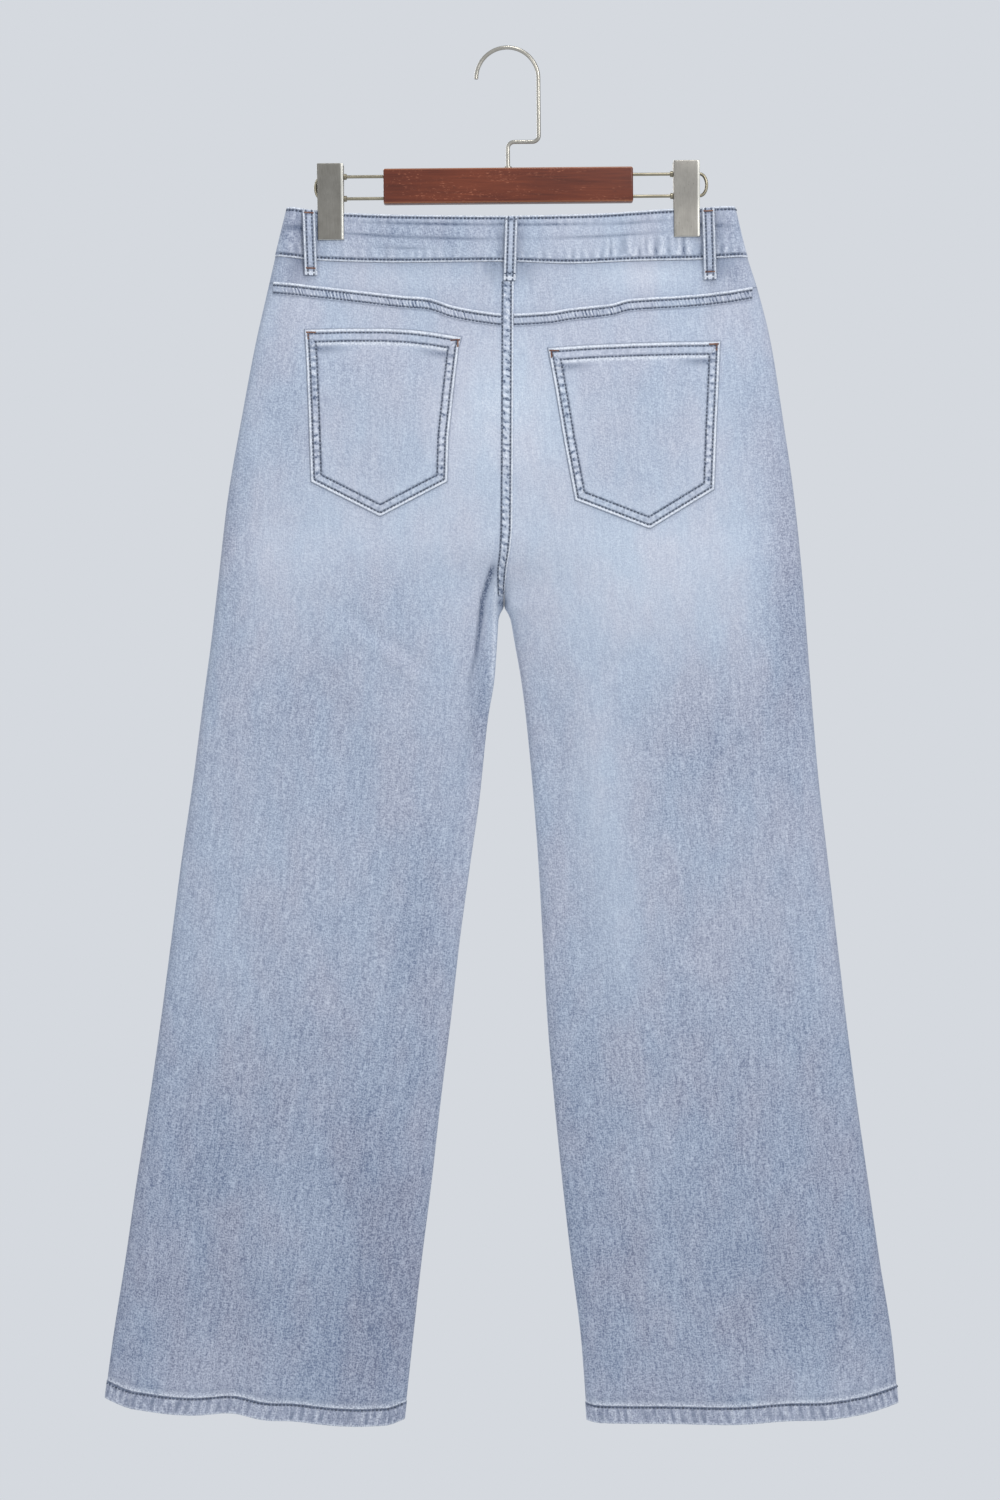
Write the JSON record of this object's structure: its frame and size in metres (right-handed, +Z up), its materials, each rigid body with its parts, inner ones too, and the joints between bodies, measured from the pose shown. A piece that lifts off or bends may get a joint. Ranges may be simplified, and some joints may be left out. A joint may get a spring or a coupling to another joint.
{
  "type": "jeans on a clip hanger",
  "caption": "Pale wide-leg jeans hanging by the waistband from a wooden bar hanger with two metal clips, hook to the top.",
  "frame": {"origin": "inside top of the hook's arc, where it rests on a peg or rail", "axes": "+Z up, +X to the wearer's right, -Y towards the garment's back"},
  "size_m": [0.6905, 0.0449, 1.1996],
  "materials": {
    "denim": "soft bleached cotton denim",
    "walnut": "lacquered red-brown",
    "nickel": "satin nickel plate"
  },
  "bodies": {
    "root": {"back_left": "denim", "back_right": "denim", "front_left": "denim", "front_right": "denim", "yoke_left": "denim", "yoke_right": "denim", "yoke_seam_left": "denim", "yoke_seam_right": "denim", "seat_seam": "denim", "waistband": "denim", "hem_left": "denim", "hem_right": "denim", "pocket_back_left": "denim", "pocket_back_right": "denim", "pocket_facing_left": "denim", "pocket_facing_right": "denim", "loop_back_left": "denim", "loop_back_center": "denim", "loop_back_right": "denim", "loop_front_left": "denim", "loop_front_right": "denim", "fly": "denim", "button": "nickel", "hook": "nickel", "bar": "walnut", "rod_left": "nickel", "rod_right": "nickel", "clip_left_saddle": "nickel", "clip_left_back_jaw": "nickel", "clip_left_front_jaw": "nickel", "clip_right_saddle": "nickel", "clip_right_back_jaw": "nickel", "clip_right_front_jaw": "nickel"}
  },
  "joints": []
}
